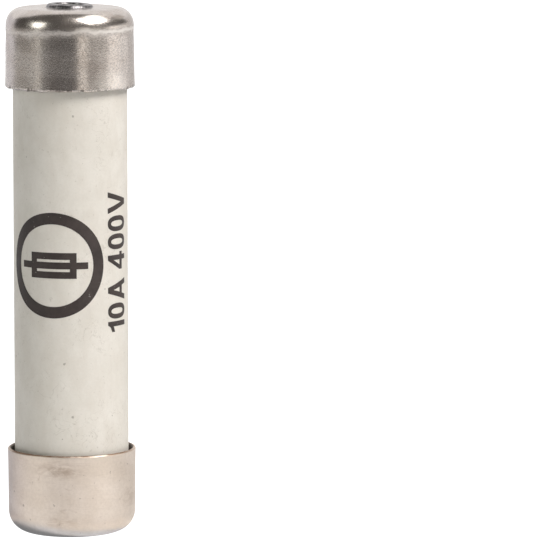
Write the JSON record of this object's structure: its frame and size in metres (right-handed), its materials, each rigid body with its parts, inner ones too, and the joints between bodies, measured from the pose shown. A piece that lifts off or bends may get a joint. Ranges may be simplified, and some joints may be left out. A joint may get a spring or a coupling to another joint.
{
  "type": "cartridge fuse",
  "caption": "Cylindrical cartridge fuse: pale ceramic tube, rounded nickel-plated end caps, raised ring on one cap holding a blown-fuse indicator button.",
  "frame": {"origin": "centre of the plain end's flat face, on which the fuse stands", "axes": "+Z along the tube, from the plain end to the indicator end; -Y is the side with the print's left half and the fuse element lies on the +Y side"},
  "size_m": [0.0088, 0.0088, 0.0363],
  "materials": {
    "ceramic_body": "matt unglazed steatite, faint grey handling marks and specks",
    "nickel_satin": "nickel-plated brass, satin, slightly tarnished warm",
    "nickel_polished": "nickel-plated brass, burnished shoulder over a satin wall",
    "inner_cap_brass": "dull tinned brass",
    "vulcanised_fibre": "red-brown vulcanised fibre, matt",
    "quartz_sand": "pale packed quartz sand",
    "silvered_copper": "silver-plated copper strip",
    "tin_solder": "soft solder, dull bright",
    "steel_wire": "drawn steel wire",
    "guide_brass": "turned brass",
    "indicator_metal": "nickel-plated brass button, satin",
    "print_ink": "dark brown-black pad-print ink, a few microns thick"
  },
  "bodies": {
    "cartridge": {"ceramic_tube": "ceramic_body", "plain_end_outer_cap": "nickel_satin", "indicator_end_outer_cap": "nickel_polished", "plain_end_inner_cap": "inner_cap_brass", "indicator_end_inner_cap": "inner_cap_brass", "plain_end_seal_disc": "vulcanised_fibre", "indicator_end_seal_disc": "vulcanised_fibre", "sand_fill_plug": "vulcanised_fibre", "quartz_sand": "quartz_sand", "fuse_element": "silvered_copper", "element_tin_overlay": "tin_solder", "plain_end_element_solder": "tin_solder", "indicator_end_element_solder": "tin_solder", "plain_end_wire_solder": "tin_solder", "indicator_wire": "steel_wire", "indicator_guide_cup": "guide_brass", "indicator_spring": "steel_wire"},
    "indicator": {"indicator_button": "indicator_metal", "indicator_wire_stub": "steel_wire", "indicator_wire_bead": "tin_solder"}
  },
  "joints": [
    {"name": "indicator_slide", "type": "slide", "parent": "cartridge", "child": "indicator", "axis": [0, 0, 1], "range_m": [0, 0.0011], "deforming": ["indicator_spring"]}
  ]
}
